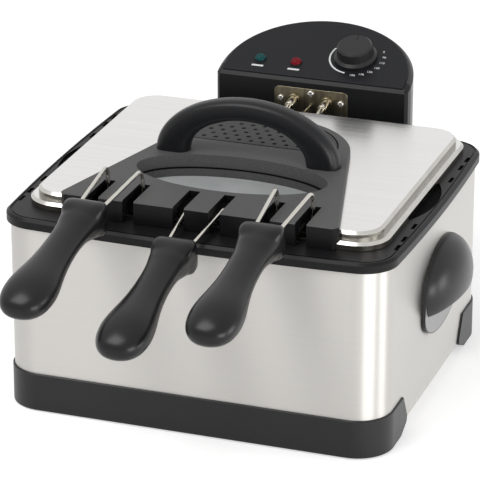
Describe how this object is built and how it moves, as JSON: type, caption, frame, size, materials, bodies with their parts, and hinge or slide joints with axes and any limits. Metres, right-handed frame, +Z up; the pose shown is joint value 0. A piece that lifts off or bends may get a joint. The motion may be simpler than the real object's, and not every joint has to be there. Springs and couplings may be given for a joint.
{
  "type": "deep fryer",
  "caption": "Household deep fryer: brushed-steel housing on plastic foot bands, slotted lid with arch handle and window, lift-out baskets with grips, sloping control head.",
  "frame": {"origin": "on the worktop, under the middle of the overall box", "axes": "+X to the fryer's right, +Y to its back where the control head hangs, +Z up"},
  "size_m": [0.4224, 0.6314, 0.269],
  "materials": {
    "brushed_steel": "vertical brushed grain, satin",
    "plain_steel": "plain mill finish",
    "black_plastic": "fine matt texture",
    "grip_plastic": "satin",
    "bright_wire": "bright plated",
    "foot_rubber": "matt",
    "seal_rubber": "matt",
    "window_glass": "clear, greyish",
    "filter_felt": "felt",
    "champagne_plate": "champagne satin",
    "element_tube": "dull tube",
    "thermostat_metal": "plain",
    "green_lens": "lens",
    "red_lens": "lens",
    "knob_plastic": "satin"
  },
  "bodies": {
    "base": {"outer_housing": "brushed_steel", "bottom_plate": "plain_steel", "top_rim": "black_plastic", "front_foot_band": "black_plastic", "rear_foot_band": "black_plastic", "rubber_feet": "foot_rubber", "base_screws": "bright_wire", "side_handle_left": "black_plastic", "side_handle_right": "black_plastic", "handle_screws": "bright_wire", "head_rails": "black_plastic", "rail_screws": "bright_wire"},
    "tank": {"oil_tank": "brushed_steel"},
    "lid": {"lid_shell": "brushed_steel", "lid_cover": "black_plastic", "lid_handle": "black_plastic", "window_pane": "window_glass", "window_seal": "seal_rubber", "filter_cover": "black_plastic", "filter_pad": "filter_felt", "lid_screws": "bright_wire"},
    "left_basket": {"basket_left": "bright_wire", "basket_left_wires": "bright_wire", "grip_left_upper": "grip_plastic", "grip_left_lower": "grip_plastic", "grip_left_screw": "bright_wire"},
    "centre_basket": {"basket_centre": "bright_wire", "basket_centre_wires": "bright_wire", "grip_centre_upper": "grip_plastic", "grip_centre_lower": "grip_plastic", "grip_centre_screw": "bright_wire"},
    "right_basket": {"basket_right": "bright_wire", "basket_right_wires": "bright_wire", "grip_right_upper": "grip_plastic", "grip_right_lower": "grip_plastic", "grip_right_screw": "bright_wire"},
    "control_head": {"head_front": "black_plastic", "head_shell": "black_plastic", "head_base": "black_plastic", "panel_plate": "black_plastic", "element_plate": "champagne_plate", "element_ferrules": "champagne_plate", "plate_screws": "bright_wire", "heating_element": "element_tube", "thermostat_probe": "element_tube", "thermostat": "thermostat_metal", "lamp_green": "green_lens", "lamp_red": "red_lens", "power_inlet": "black_plastic", "head_screws": "bright_wire"},
    "knob": {"thermostat_knob": "knob_plastic"}
  },
  "joints": [
    {"name": "lid_lift", "type": "slide", "parent": "base", "child": "lid", "axis": [0, 0, 1], "range_m": [0, 0.28]},
    {"name": "left_basket_lift", "type": "slide", "parent": "base", "child": "left_basket", "axis": [0, 0, 1], "range_m": [0, 0.21]},
    {"name": "centre_basket_lift", "type": "slide", "parent": "base", "child": "centre_basket", "axis": [0, 0, 1], "range_m": [0, 0.21]},
    {"name": "right_basket_lift", "type": "slide", "parent": "base", "child": "right_basket", "axis": [0, 0, 1], "range_m": [0, 0.21]},
    {"name": "head_lift", "type": "slide", "parent": "base", "child": "control_head", "axis": [0, 0, 1], "range_m": [0, 0.14]},
    {"name": "tank_lift", "type": "slide", "parent": "base", "child": "tank", "axis": [0, 0, 1], "range_m": [0, 0.07]},
    {"name": "knob_turn", "type": "hinge", "parent": "control_head", "child": "knob", "pos_m": [0.034, 0.25817, 0.2406], "axis": [0, -0.342, 0.9397], "range_deg": [-270, 0]}
  ],
  "couplings": [
    {"joint": "left_basket_lift", "follows": "lid_lift", "ratio": 0.75},
    {"joint": "centre_basket_lift", "follows": "lid_lift", "ratio": 0.75},
    {"joint": "right_basket_lift", "follows": "lid_lift", "ratio": 0.75},
    {"joint": "head_lift", "follows": "lid_lift", "ratio": 0.5},
    {"joint": "tank_lift", "follows": "lid_lift", "ratio": 0.25}
  ]
}
